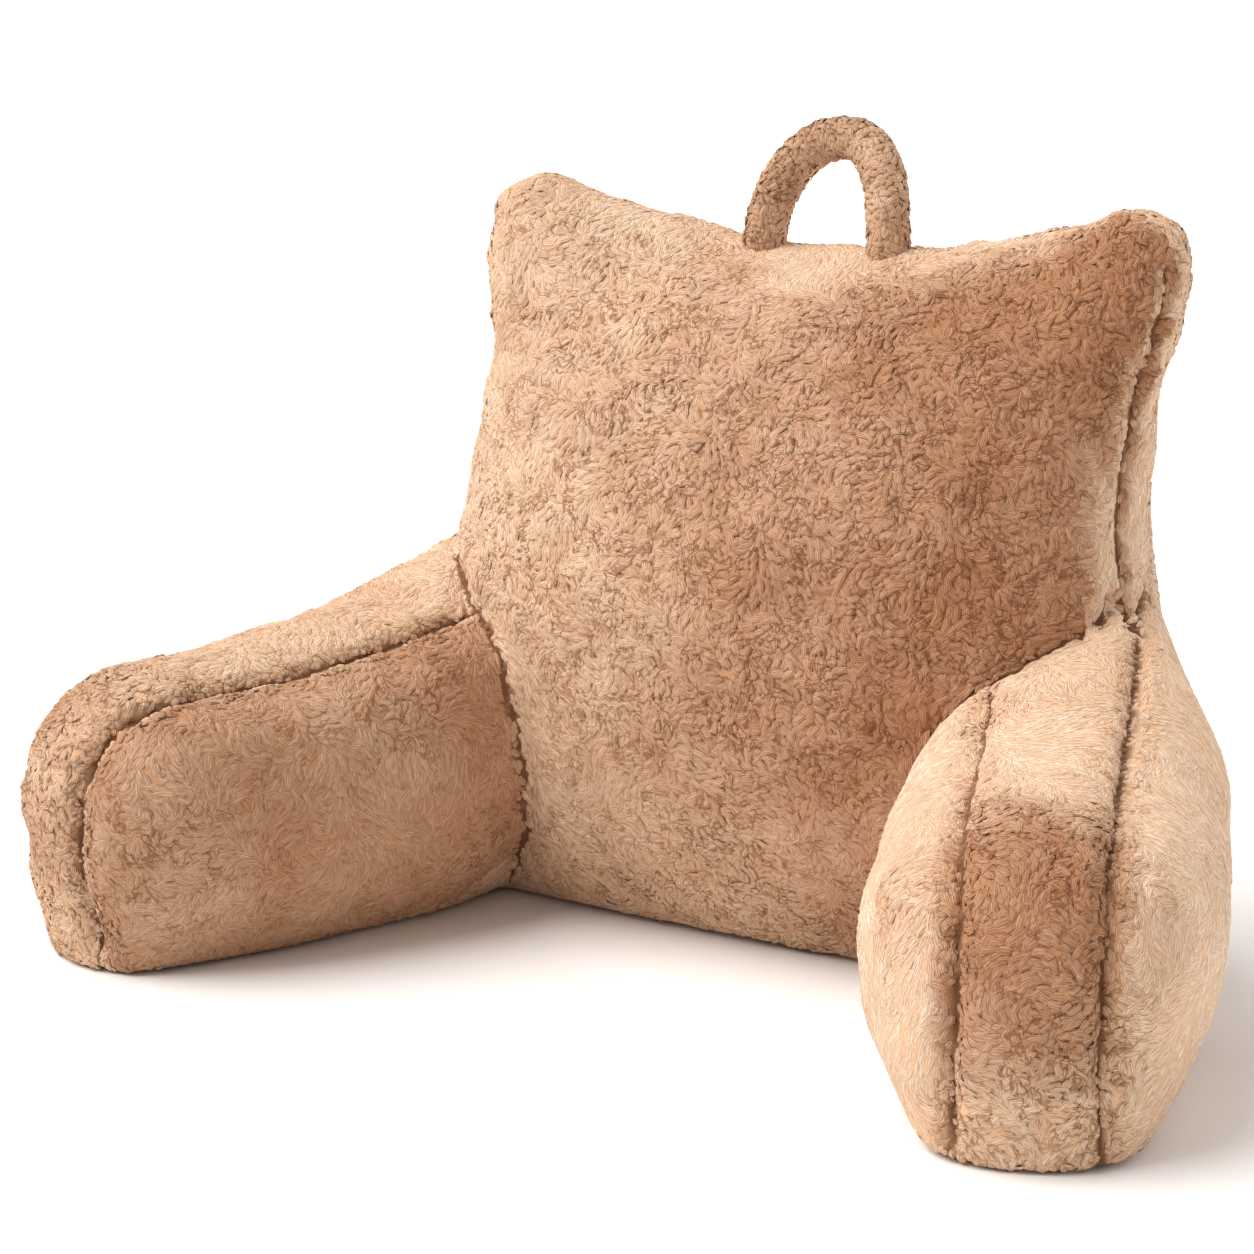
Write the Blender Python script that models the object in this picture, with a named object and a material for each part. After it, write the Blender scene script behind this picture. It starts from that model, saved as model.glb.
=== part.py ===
"""Reading pillow with arms: a crowned back cushion, two splayed arms and a carry handle.

Metres, +Z up. The sitter leans on the -Y face and the pillow stands on z = 0, with the middle
of the back cushion's base at x = 0. Every chamber is one filled solid whose sides bulge between
sunken seams, and each outline already takes in the pile of the plush cover.
"""

import bpy
import bmesh
import numpy as np
from mathutils import Vector

# Back cushion
BACK_HEIGHT = 0.500         # the top gusset's crown stands above this
BACK_FRONT_CROWN = 0.104    # how far the front panel swells in front of its seam
BACK_REAR_CROWN = 0.085
BACK_GUSSET_SWELL = 0.008
BACK_CORNER_REACH = 0.062   # size of the rounded top corners
BACK_FOOT_REACH = 0.045     # and of the rounded bottom corners
BACK_TOP_SAG = 0.035        # the top edge dips this much between the corners
BACK_CORNER_PINCH = 0.25    # the gusset is this share thinner at the top corners
BACK_FOOT_RECESS = 0.006    # the front panel's bottom edge draws back in the middle
BACK_BELLY = 0.42           # share of the height at which the panels are fullest
BACK_CUTS = 17              # grid cuts on each side of the box it is shaped from

# One row for each height: half width over the front seam, y of the front seam, depth of the
# gusset from seam to seam, and how far the gusset draws in towards its rear seam
BACK_SECTIONS = {
    "height":     (0.000, 0.100, 0.180, 0.250, 0.320, 0.390, 0.450, 0.500),
    "half_width": (0.292, 0.292, 0.279, 0.263, 0.255, 0.257, 0.268, 0.274),
    "seam_y":     (-0.020, -0.024, -0.026, -0.024, -0.014, 0.001, 0.014, 0.022),
    "gusset":     (0.100, 0.090, 0.078, 0.064, 0.052, 0.044, 0.040, 0.036),
    "draw_in":    (0.042, 0.040, 0.032, 0.014, 0.002, 0.000, 0.004, 0.006),
}

# Arm, in its own plan frame: "reach" runs from the front seam's foot back along the band
ARM_FOOT = (0.3575, -0.322)
ARM_SPLAY_DEG = 24.8
ARM_LENGTH = 0.400
ARM_CORNER_REACH = 0.080    # radius over the top of the front end
ARM_FRONT_SWELL = 0.022     # the front end stands this far ahead of its foot
ARM_FRONT_FULL_Z = 0.100    # from this height upwards
ARM_BAND_CROWN = 0.015
ARM_FRONT_ROUNDING = 0.135  # the side panels reach full width this far behind the front seam
ARM_FULLEST = 0.50          # share of the seam height at which the side panels are fullest
ARM_CROWDING = 1.25         # grid rows crowd towards the front end by this power
ARM_CUTS = 14

# One row for each distance from the front: seam height, then sideways places of the two band
# seams, of the side panels' fullest lines and of the edges that meet the floor
ARM_SECTIONS = {
    "reach":      (0.000, 0.060, 0.140, 0.200, 0.270, 0.330, 0.400),
    "seam_in_z":  (0.178, 0.180, 0.187, 0.195, 0.209, 0.224, 0.240),
    "seam_out_z": (0.178, 0.183, 0.192, 0.203, 0.225, 0.252, 0.285),
    "seam_in":    (-0.043, -0.044, -0.045, -0.045, -0.044, -0.040, -0.030),
    "seam_out":   (0.043, 0.044, 0.045, 0.046, 0.048, 0.047, 0.034),
    "full_in":    (-0.109, -0.110, -0.110, -0.106, -0.092, -0.060, -0.040),
    "full_out":   (0.108, 0.108, 0.111, 0.114, 0.111, 0.095, 0.062),
    "foot_in":    (-0.043, -0.028, -0.015, 0.002, 0.018, 0.036, 0.050),
    "foot_out":   (0.043, 0.041, 0.045, 0.054, 0.066, 0.066, 0.040),
}

# Carry handle
HANDLE_HALF_SPAN = 0.049    # from the middle to the middle of each foot
HANDLE_FOOT_Y = 0.026
HANDLE_FOOT_Z = 0.460       # the feet run this low, inside the top gusset
HANDLE_TOP_Z = 0.539        # the tube's middle line at the top of the arch
HANDLE_LEAN = 0.034         # the arch leans back this far at its top
HANDLE_RADIUS = 0.0165
HANDLE_RINGS = 22
HANDLE_SIDES = 12

SEWING_GAP = 0.0007         # between the back cushion and what is sewn to it
CORNER_POWER = 2.3          # 2 would make every rounded corner a true quarter circle
ON_FACE = 0.999             # a grid coordinate past this lies on that face of the box


def smooth_rows(table, key, column, at):
    """A cubic curve through one column of a section table, read at each value of `at`."""
    knots = np.array(table[key])
    values = np.array(table[column])
    slopes = np.gradient(values, knots)
    at = np.clip(at, knots[0], knots[-1])
    left = np.clip(np.searchsorted(knots, at, side="right") - 1, 0, len(knots) - 2)
    span = knots[left + 1] - knots[left]
    t = (at - knots[left]) / span
    return (
        (2 * t**3 - 3 * t**2 + 1) * values[left]
        + (t**3 - 2 * t**2 + t) * span * slopes[left]
        + (3 * t**2 - 2 * t**3) * values[left + 1]
        + (t**3 - t**2) * span * slopes[left + 1]
    )


def dome(t, power=2.0):
    """1 in the middle, falling steeply to 0 at t = -1 and t = 1."""
    return np.sqrt(np.clip(1 - np.abs(t) ** power, 0, 1))


def soft_least(a, b, power=6):
    """The smaller of two shares from 0 to 1, with the crease between them rounded off."""
    a = np.maximum(a, 1e-6)
    b = np.maximum(b, 1e-6)
    return (0.5 * (a**-power + b**-power)) ** (-1 / power)


def rounded_corner(across, up, reach):
    """Pulls the square corner beyond (-reach, -reach) in to a superellipse of that size."""
    p = np.clip(across / reach + 1, 0, None)
    q = np.clip(up / reach + 1, 0, None)
    size = (p**CORNER_POWER + q**CORNER_POWER) ** (1 / CORNER_POWER)
    shrink = np.where((p > 0) & (q > 0), np.maximum(p, q) / np.maximum(size, 1e-9), 1.0)
    inside = (across > -reach) & (up > -reach)
    return (
        np.where(inside, (p * shrink - 1) * reach, across),
        np.where(inside, (q * shrink - 1) * reach, up),
    )


def box_grid(cuts):
    """A cube from -1 to 1 with an even grid of squares on each face."""
    mesh = bmesh.new()
    bmesh.ops.create_cube(mesh, size=2)
    bmesh.ops.subdivide_edges(mesh, edges=mesh.edges[:], cuts=cuts, use_grid_fill=True)
    return mesh


def shaped_box(name, cuts, shape, material):
    """The grid cube carried onto `shape`, a function of its three coordinates."""
    grid = box_grid(cuts)
    mesh = bpy.data.meshes.new(name)
    grid.to_mesh(mesh)
    grid.free()
    places = np.empty(len(mesh.vertices) * 3)
    mesh.vertices.foreach_get("co", places)
    x, y, z = shape(*places.reshape(-1, 3).T)
    mesh.vertices.foreach_set("co", np.stack([x, y, z], axis=1).ravel())
    return finished(name, mesh, material)


def finished(name, mesh, material):
    """Puts a mesh in the scene, shaded smooth, with its faces turned outwards."""
    turned = bmesh.new()
    turned.from_mesh(mesh)
    bmesh.ops.recalc_face_normals(turned, faces=turned.faces[:])
    bmesh.ops.triangulate(turned, faces=turned.faces[:])
    turned.to_mesh(mesh)
    turned.free()
    mesh.shade_smooth()
    mesh.materials.append(material)
    piece = bpy.data.objects.new(name, mesh)
    bpy.context.scene.collection.objects.link(piece)
    return piece


def back_shape(u, v, w):
    """u runs across, v from the front panel to the rear panel, w up from the floor."""
    up = (w + 1) / 2
    depth = (v + 1) / 2
    widest = BACK_SECTIONS["half_width"][0]
    across, above = rounded_corner(
        (np.abs(u) - 1) * widest, (up - 1) * BACK_HEIGHT, BACK_CORNER_REACH
    )
    across, below = rounded_corner(across, -BACK_HEIGHT - above, BACK_FOOT_REACH)
    share = (across / widest + 1) * np.sign(u)
    z = -below
    half = smooth_rows(BACK_SECTIONS, "height", "half_width", z)
    seam_y = smooth_rows(BACK_SECTIONS, "height", "seam_y", z)
    gusset = smooth_rows(BACK_SECTIONS, "height", "gusset", z)
    draw_in = smooth_rows(BACK_SECTIONS, "height", "draw_in", z)
    x = share * (half - draw_in * depth)
    # The middle of the top edge dips, and the corners are pinched thin
    near_top = (z / BACK_HEIGHT) ** 4
    z = z - BACK_TOP_SAG * np.cos(share * np.pi / 2) ** 1.3 * near_top
    gusset = gusset * (1 - BACK_CORNER_PINCH * np.abs(share) ** 6 * near_top)
    # The gusset swells outwards between its two seams
    swell = BACK_GUSSET_SWELL * dome(v)
    x = x + swell * np.sign(u) * (np.abs(u) > ON_FACE) * (z > 0)
    z = z + swell * (w > ON_FACE)
    # The panels crown between their seams, most at the belly
    from_belly = up - BACK_BELLY
    belly = np.where(from_belly < 0, from_belly / BACK_BELLY, from_belly / (1 - BACK_BELLY))
    crown = dome(u, 2.1) ** 1.1 * dome(belly, 2.2) ** 1.25
    y = seam_y + gusset * depth
    y = y + BACK_FOOT_RECESS * (1 - u**2) * (1 - up) ** 6 * (1 - depth)
    y = y + np.where(v < 0, -BACK_FRONT_CROWN, BACK_REAR_CROWN) * np.abs(v) * crown
    return x, y, np.maximum(z, 0)


def arm_shape(side):
    """The shape function of the arm on `side`, -1 for the left and 1 for the right."""
    splay = np.radians(ARM_SPLAY_DEG)

    def shape(u, v, w):
        """u runs across the band, v from the front end back, w up from the floor."""
        back = (v + 1) / 2
        up = (w + 1) / 2
        behind = back**ARM_CROWDING * ARM_LENGTH
        inner_z = smooth_rows(ARM_SECTIONS, "reach", "seam_in_z", behind)
        outer_z = smooth_rows(ARM_SECTIONS, "reach", "seam_out_z", behind)
        seam_z = inner_z + (outer_z - inner_z) * (u + 1) / 2
        # The front end rounds over into the top, and swells ahead of its foot
        ahead, below = rounded_corner(-behind, (up - 1) * seam_z, ARM_CORNER_REACH)
        z = seam_z + below
        short_of_full = np.clip(1 - z / ARM_FRONT_FULL_Z, 0, 1)
        foot_back = ARM_FRONT_SWELL * short_of_full**2 * np.clip(1 - back * 6, 0, 1)
        reach = -ahead - ARM_FRONT_SWELL + foot_back
        # Each side panel swells from its seam out to its fullest line, and in again to its foot
        rows = {name: smooth_rows(ARM_SECTIONS, "reach", name, reach) for name in ARM_SECTIONS}
        rounding = dome(1 - np.clip(behind / ARM_FRONT_ROUNDING, 0, 1))
        over = dome((up - ARM_FULLEST) / (1 - ARM_FULLEST))
        under = dome((ARM_FULLEST - up) / ARM_FULLEST)
        sides = []
        for end in ("in", "out"):
            seam = rows["seam_" + end]
            full = rows["full_" + end] - seam
            foot = rows["foot_" + end] - seam
            above_full = full * soft_least(over, rounding)
            below_full = rounding * (foot + (full - foot) * under)
            sides.append(seam + np.where(up > ARM_FULLEST, above_full, below_full))
        sideways = sides[0] + (sides[1] - sides[0]) * (u + 1) / 2
        # The band crowns between its seams, forwards at the front end and upwards on top
        crown = ARM_BAND_CROWN * dome(u, 2.2) * ((w > ON_FACE) | (v < -ON_FACE))
        lift = np.clip(1 + (z - seam_z) / ARM_CORNER_REACH, 0, 1)
        z = z + crown * lift * (z > 0)
        reach = reach - crown * np.sqrt(1 - lift**2) * (z > 0)
        x = ARM_FOOT[0] - np.sin(splay) * reach + np.cos(splay) * sideways
        y = ARM_FOOT[1] + np.cos(splay) * reach + np.sin(splay) * sideways
        return side * x, y, np.maximum(z, 0)

    return shape


def handle_rings():
    """Ring centres along the arch, from the left foot up over the top to the right foot."""
    angle = np.linspace(-np.pi / 2, np.pi / 2, HANDLE_RINGS)
    rise = np.cos(angle) ** 0.85
    x = HANDLE_HALF_SPAN * np.sign(angle) * np.abs(np.sin(angle)) ** 0.9
    y = HANDLE_FOOT_Y + HANDLE_LEAN * rise**2
    z = HANDLE_FOOT_Z + (HANDLE_TOP_Z - HANDLE_FOOT_Z) * rise
    return np.stack([x, y, z], axis=1)


def handle_mesh():
    """A round tube carried along the arch, closed at both feet."""
    centres = handle_rings()
    ahead = np.gradient(centres, axis=0)
    arch_up = Vector((0, HANDLE_LEAN, HANDLE_TOP_Z - HANDLE_FOOT_Z))
    flat = np.array(arch_up.cross(Vector((1, 0, 0))).normalized())
    across = np.cross(ahead, flat)
    across /= np.linalg.norm(across, axis=1, keepdims=True)
    turn = np.linspace(0, 2 * np.pi, HANDLE_SIDES, endpoint=False)
    rings = centres[:, None] + HANDLE_RADIUS * (
        np.cos(turn)[None, :, None] * across[:, None] + np.sin(turn)[None, :, None] * flat
    )
    number = np.arange(HANDLE_RINGS * HANDLE_SIDES).reshape(HANDLE_RINGS, HANDLE_SIDES)
    after = np.roll(number, -1, axis=1)
    walls = np.stack([number[:-1], after[:-1], after[1:], number[1:]], axis=2).reshape(-1, 4)
    mesh = bpy.data.meshes.new("carry_handle")
    ends = [number[0][::-1].tolist(), number[-1].tolist()]
    mesh.from_pydata(rings.reshape(-1, 3).tolist(), [], walls.tolist() + ends)
    return mesh


def plush(name, colour):
    """A matt cloth material of one colour."""
    material = bpy.data.materials.new(name)
    material.use_nodes = True
    shader = material.node_tree.nodes["Principled BSDF"]
    shader.inputs["Base Color"].default_value = (*colour, 1)
    shader.inputs["Roughness"].default_value = 0.9
    shader.inputs["Metallic"].default_value = 0.0
    return material


def cut_clear_of(piece, cutter):
    """Takes away whatever of the piece would lie inside the cutter."""
    cut = piece.modifiers.new("clear_of_" + cutter.name, "BOOLEAN")
    cut.operation = "DIFFERENCE"
    cut.solver = "EXACT"
    cut.object = cutter


def back_cutter(back):
    """The back cushion grown by the sewing gap, which trims the arms and the handle's feet."""
    cutter = bpy.data.objects.new("back_cutter", back.data.copy())
    bpy.context.scene.collection.objects.link(cutter)
    grow = cutter.modifiers.new("sewing_gap", "DISPLACE")
    grow.strength = SEWING_GAP
    grow.mid_level = 0.0
    cutter.hide_render = True
    cutter.display_type = "WIRE"
    return cutter


def main():
    for item in list(bpy.data.objects):
        bpy.data.objects.remove(item, do_unlink=True)
    back_plush = plush("plush_back", (0.66, 0.42, 0.25))
    back = shaped_box("back_cushion", BACK_CUTS, back_shape, back_plush)
    cutter = back_cutter(back)
    for name, side in (("arm_left", -1), ("arm_right", 1)):
        arm_plush = plush("plush_" + name, (0.68, 0.44, 0.26))
        arm = shaped_box(name, ARM_CUTS, arm_shape(side), arm_plush)
        cut_clear_of(arm, cutter)
    handle = finished("carry_handle", handle_mesh(), plush("plush_handle", (0.70, 0.45, 0.27)))
    cut_clear_of(handle, cutter)


main()
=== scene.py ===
import bpy
import bmesh
import numpy as np
from mathutils import Matrix, Vector
from mathutils.bvhtree import BVHTree


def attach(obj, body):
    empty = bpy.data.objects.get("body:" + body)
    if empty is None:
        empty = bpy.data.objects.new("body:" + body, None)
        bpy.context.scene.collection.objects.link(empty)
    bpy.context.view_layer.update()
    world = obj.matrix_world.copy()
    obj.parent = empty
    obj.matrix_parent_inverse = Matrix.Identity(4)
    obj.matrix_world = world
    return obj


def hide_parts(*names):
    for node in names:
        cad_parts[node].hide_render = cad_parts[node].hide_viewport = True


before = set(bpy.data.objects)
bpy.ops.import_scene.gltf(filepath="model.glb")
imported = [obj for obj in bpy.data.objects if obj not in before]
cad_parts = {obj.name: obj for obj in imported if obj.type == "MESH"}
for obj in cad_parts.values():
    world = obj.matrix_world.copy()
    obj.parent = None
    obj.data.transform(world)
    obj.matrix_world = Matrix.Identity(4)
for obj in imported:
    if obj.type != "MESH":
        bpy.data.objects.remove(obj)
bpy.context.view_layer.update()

print("frame loaded")
rng = np.random.default_rng(11)


back = {
    "height": 0.500,
    "frontCrown": 0.104,
    "rearCrown": 0.085,
    "gussetSwell": 0.008,
    "cornerReach": 0.062,
    "footReach": 0.045,
    "topSag": 0.035,
    "cornerPinch": 0.25,
    "belly": 0.42,
    # a row for each height: half width, y of the front seam, gusset depth, draw-in to the rear
    "heights":    (0.000, 0.100, 0.180, 0.250, 0.320, 0.390, 0.450, 0.500),
    "halfWidth":  (0.292, 0.292, 0.279, 0.263, 0.255, 0.257, 0.268, 0.274),
    "seamY":      (-0.020, -0.024, -0.026, -0.024, -0.014, 0.001, 0.014, 0.022),
    "gusset":     (0.100, 0.090, 0.078, 0.064, 0.052, 0.044, 0.040, 0.036),
    "drawIn":     (0.042, 0.040, 0.032, 0.014, 0.002, 0.000, 0.004, 0.006),
}
arm = {
    "foot": (0.3575, -0.322),
    "splay": np.radians(24.8),
    "length": 0.400,
    "cornerReach": 0.080,
    "frontSwell": 0.022,
    "frontFullZ": 0.100,
    "bandCrown": 0.015,
    "frontRounding": 0.135,
    "fullest": 0.50,
    "crowding": 1.25,
    # a row for each distance from the front end
    "reach":      (0.000, 0.060, 0.140, 0.200, 0.270, 0.330, 0.400),
    "seamInZ":    (0.178, 0.180, 0.187, 0.195, 0.209, 0.224, 0.240),
    "seamOutZ":   (0.178, 0.183, 0.192, 0.203, 0.225, 0.252, 0.285),
    "seamIn":     (-0.043, -0.044, -0.045, -0.045, -0.044, -0.040, -0.030),
    "seamOut":    (0.043, 0.044, 0.045, 0.046, 0.048, 0.047, 0.034),
    "fullIn":     (-0.109, -0.110, -0.110, -0.106, -0.092, -0.060, -0.040),
    "fullOut":    (0.108, 0.108, 0.111, 0.114, 0.111, 0.095, 0.062),
    "footIn":     (-0.043, -0.028, -0.015, 0.002, 0.018, 0.036, 0.050),
    "footOut":    (0.043, 0.041, 0.045, 0.054, 0.066, 0.066, 0.040),
}
loop = {
    "halfSpan": 0.049,
    "footY": 0.036,
    "footZ": 0.455,
    "topZ": 0.539,
    "lean": 0.025,
    "coreRadius": 0.0132,
    "rings": 60,
    "sides": 20,
}
filling = {
    "voxel": 0.0098,
    "pileDepth": 0.0025,     # the cloth lies this far inside the outline under the pile
    "startInset": 0.0038,
    "pressure": 4.0,
    "mostSwell": 0.0065,
    "frames": 20,
    "corner": (0.265, 0.035, 0.480),
    "cornerStretch": (1, 0.6, 1),
    "cornerReach": (0.100, 0.020),
    "cornerFill": 0.0090,
    "sweep": (0.285, 0.0, 0.27),        # where an arm's outer side runs on into the back's
    "sweepStretch": (1, 1, 0.55),
    "sweepReach": (0.13, 0.09),
    "sweepFrom": (-0.045, -0.015),
    "sweepRounds": 60,
    "floorPin": (0.020, 0.010),
    "floorBlend": (0.030, 0.0),
    "baseLift": 0.002,
}
seams = {
    "pinWidth": 0.012,
    "grooveWidth": 0.0075,
    "grooveDepth": 0.0075,
    "frontShare": 0.55,      # the back's own seams are shallower than the arms'
    "rearShare": 0.15,
    "creaseWidth": 0.0080,
    "creaseDepth": 0.0095,
    "creaseReach": 0.0200,   # the crease on the skin lies this near the solids' own
    "standOut": 0.0045,      # an arm's skin stands at least this far out in front of the panel
    "farthest": 0.0090,      # a seam deeper in the filling than this does not show
    "puckerDepth": 0.0022,
    "puckerPitch": 0.014,
    "puckerReach": (0.035, 0.010),
    "dents": ((0.0022, 0.060), (0.0012, 0.028)),     # depth and size, broad and small
    "floorFade": (0.004, 0.030),
    "cutNear": 0.0035,       # a cut face of a CAD arm lies this near the back's skin
    "innerX": 0.255,         # the crease shows inside this, or above the next
    "innerZ": 0.235,
    "creaseFront": -0.022,
}


def smoothRows(table, key, column, at):
    # a cubic curve through one column of a table, with slopes taken from the neighbouring rows
    knots = np.array(table[key])
    values = np.array(table[column])
    slopes = np.gradient(values, knots)
    at = np.clip(at, knots[0], knots[-1])
    left = np.clip(np.searchsorted(knots, at, side="right") - 1, 0, len(knots) - 2)
    span = knots[left + 1] - knots[left]
    t = (at - knots[left]) / span
    return (
        (2 * t**3 - 3 * t**2 + 1) * values[left]
        + (t**3 - 2 * t**2 + t) * span * slopes[left]
        + (3 * t**2 - 2 * t**3) * values[left + 1]
        + (t**3 - t**2) * span * slopes[left + 1]
    )


def backRow(column, z):
    return smoothRows(back, "heights", column, z)


def dome(t, power=2.0):
    # square root of 1 - |t|^power: 1 in the middle, falling steeply to 0 at -1 and 1
    return np.sqrt(np.clip(1 - np.abs(t) ** power, 0, 1))


def softLeast(a, b, power=6):
    # the smaller of two shares, with the crease between them rounded off
    a = np.maximum(a, 1e-6)
    b = np.maximum(b, 1e-6)
    return (0.5 * (a**-power + b**-power)) ** (-1 / power)


def smoothStep(low, high, value):
    # 0 below low, 1 above high, 3t^2 - 2t^3 between
    t = np.clip((value - low) / (high - low), 0, 1)
    return t * t * (3 - 2 * t)


def roundedCorner(across, up, reach, power=2.3):
    # pulls the square corner beyond (-reach, -reach) in to a superellipse of that size
    p = np.clip(across / reach + 1, 0, None)
    q = np.clip(up / reach + 1, 0, None)
    size = (p**power + q**power) ** (1 / power)
    shrink = np.where((p > 0) & (q > 0), np.maximum(p, q) / np.maximum(size, 1e-9), 1.0)
    inside = (across > -reach) & (up > -reach)
    return (
        np.where(inside, (p * shrink - 1) * reach, across),
        np.where(inside, (q * shrink - 1) * reach, up),
    )


def backShape(u, v, w):
    # the box (u across, v front to rear, w up) bent to the back cushion: rows of the table give
    # the seams by height, corners are superellipses, panels crown between their seams
    up = (w + 1) / 2
    depth = (v + 1) / 2
    widest = back["halfWidth"][0]
    across, above = roundedCorner(
        (np.abs(u) - 1) * widest, (up - 1) * back["height"], back["cornerReach"]
    )
    across, below = roundedCorner(across, -back["height"] - above, back["footReach"])
    share = (across / widest + 1) * np.sign(u)
    z = -below
    half = backRow("halfWidth", z)
    seamY = backRow("seamY", z)
    gusset = backRow("gusset", z)
    drawIn = backRow("drawIn", z)
    x = share * (half - drawIn * depth)
    nearTop = (z / back["height"]) ** 4
    z = z - back["topSag"] * np.cos(share * np.pi / 2) ** 1.3 * nearTop
    gusset = gusset * (1 - back["cornerPinch"] * np.abs(share) ** 6 * nearTop)
    swell = back["gussetSwell"] * dome(v)
    x = x + swell * np.sign(u) * (np.abs(u) > 0.999) * (z > 0)
    z = z + swell * (w > 0.999)
    fromBelly = up - back["belly"]
    belly = np.where(fromBelly < 0, fromBelly / back["belly"], fromBelly / (1 - back["belly"]))
    crown = dome(u, 2.1) ** 1.1 * dome(belly, 2.2) ** 1.25
    y = seamY + gusset * depth
    y = y + np.where(v < 0, -back["frontCrown"], back["rearCrown"]) * np.abs(v) * crown
    return x, y, np.maximum(z, 0)


def armShape(side):
    # the shape function of the arm on one side, -1 for the left and 1 for the right
    def shape(u, v, w):
        # u across the band, v from the front end back, w up: the front end rounds over into the
        # top, side panels swell from seam to fullest line to foot, and the band crowns
        behind = ((v + 1) / 2) ** arm["crowding"] * arm["length"]
        up = (w + 1) / 2
        innerZ = smoothRows(arm, "reach", "seamInZ", behind)
        outerZ = smoothRows(arm, "reach", "seamOutZ", behind)
        seamZ = innerZ + (outerZ - innerZ) * (u + 1) / 2
        ahead, below = roundedCorner(-behind, (up - 1) * seamZ, arm["cornerReach"])
        z = seamZ + below
        shortOfFull = np.clip(1 - z / arm["frontFullZ"], 0, 1)
        footBack = arm["frontSwell"] * shortOfFull**2 * np.clip(1 - (v + 1) * 3, 0, 1)
        reach = -ahead - arm["frontSwell"] + footBack
        rounding = dome(1 - np.clip(behind / arm["frontRounding"], 0, 1))
        over = dome((up - arm["fullest"]) / (1 - arm["fullest"]))
        under = dome((arm["fullest"] - up) / arm["fullest"])
        sides = []
        for end in ("In", "Out"):
            seam = smoothRows(arm, "reach", "seam" + end, reach)
            full = smoothRows(arm, "reach", "full" + end, reach) - seam
            foot = smoothRows(arm, "reach", "foot" + end, reach) - seam
            aboveFull = full * softLeast(over, rounding)
            belowFull = rounding * (foot + (full - foot) * under)
            sides.append(seam + np.where(up > arm["fullest"], aboveFull, belowFull))
        sideways = sides[0] + (sides[1] - sides[0]) * (u + 1) / 2
        crown = arm["bandCrown"] * dome(u, 2.2) * ((w > 0.999) | (v < -0.999))
        lift = np.clip(1 + (z - seamZ) / arm["cornerReach"], 0, 1)
        z = z + crown * lift * (z > 0)
        reach = reach - crown * np.sqrt(1 - lift**2) * (z > 0)
        x = arm["foot"][0] - np.sin(arm["splay"]) * reach + np.cos(arm["splay"]) * sideways
        y = arm["foot"][1] + np.cos(arm["splay"]) * reach + np.sin(arm["splay"]) * sideways
        return side * x, y, np.maximum(z, 0)

    return shape


def boxFaces(count):
    # the six faces of a box from -1 to 1, each an even grid: points (n, 3) and quads (m, 4)
    step = np.linspace(-1, 1, count)
    a, b = (grid.ravel() for grid in np.meshgrid(step, step, indexing="ij"))
    number = np.arange(count * count).reshape(count, count)
    quads = np.stack([number[:-1, :-1], number[1:, :-1], number[1:, 1:], number[:-1, 1:]], axis=2)
    quads = quads.reshape(-1, 4)
    points, faces = [], []
    for axis in range(3):
        for sign in (-1, 1):
            face = np.empty((count * count, 3))
            face[:, axis] = sign
            face[:, (axis + 1) % 3] = a
            face[:, (axis + 2) % 3] = b
            faces.append((quads if sign > 0 else quads[:, ::-1]) + len(points) * count * count)
            points.append(face)
    return np.concatenate(points), np.concatenate(faces)


def makeMesh(name, points, faces):
    # a mesh from point and face arrays
    mesh = bpy.data.meshes.new(name)
    mesh.from_pydata(points.tolist(), [], faces.tolist())
    mesh.update()
    return mesh


def makeObject(name, mesh):
    piece = bpy.data.objects.new(name, mesh)
    bpy.context.scene.collection.objects.link(piece)
    return piece


def readVectors(items, key):
    values = np.empty(len(items) * 3, np.float32)
    items.foreach_get(key, values)
    return values.reshape(-1, 3).astype(float)


def readPoints(mesh):
    return readVectors(mesh.vertices, "co")


def writePoints(mesh, points):
    mesh.vertices.foreach_set("co", points.astype(np.float32).ravel())
    mesh.update()


def readNormals(mesh):
    return readVectors(mesh.vertices, "normal")


def storeValues(mesh, name, values):
    layer = mesh.attributes.new(name, "FLOAT", "POINT")
    layer.data.foreach_set("value", values.astype(np.float32))


def readCorners(mesh):
    corners = np.empty(len(mesh.loops), np.int32)
    mesh.loops.foreach_get("vertex_index", corners)
    return corners


def faceOutward(mesh, weld=0):
    work = bmesh.new()
    work.from_mesh(mesh)
    if weld:
        bmesh.ops.remove_doubles(work, verts=work.verts[:], dist=weld)
    bmesh.ops.recalc_face_normals(work, faces=work.faces[:])
    work.to_mesh(mesh)
    work.free()


def unit(vectors):
    return vectors / np.maximum(np.linalg.norm(vectors, axis=-1, keepdims=True), 1e-12)


def evaluated(piece):
    # the mesh that the piece's modifiers make
    graph = bpy.context.evaluated_depsgraph_get()
    return bpy.data.meshes.new_from_object(piece.evaluated_get(graph))


def relax(mesh, points, weight, rounds):
    # each round moves every point the given share of the way to the mean of its neighbours
    ends = np.empty(len(mesh.edges) * 2, np.int32)
    mesh.edges.foreach_get("vertices", ends)
    a, b = ends.reshape(-1, 2).T
    degree = np.bincount(a, minlength=len(points)) + np.bincount(b, minlength=len(points))
    for _ in range(rounds):
        sums = [np.bincount(a, points[b, k], len(points)) + np.bincount(b, points[a, k], len(points))
                for k in range(3)]
        total = np.stack(sums, axis=1)
        points = points + weight * (total / degree[:, None] - points)
    return points


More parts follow.
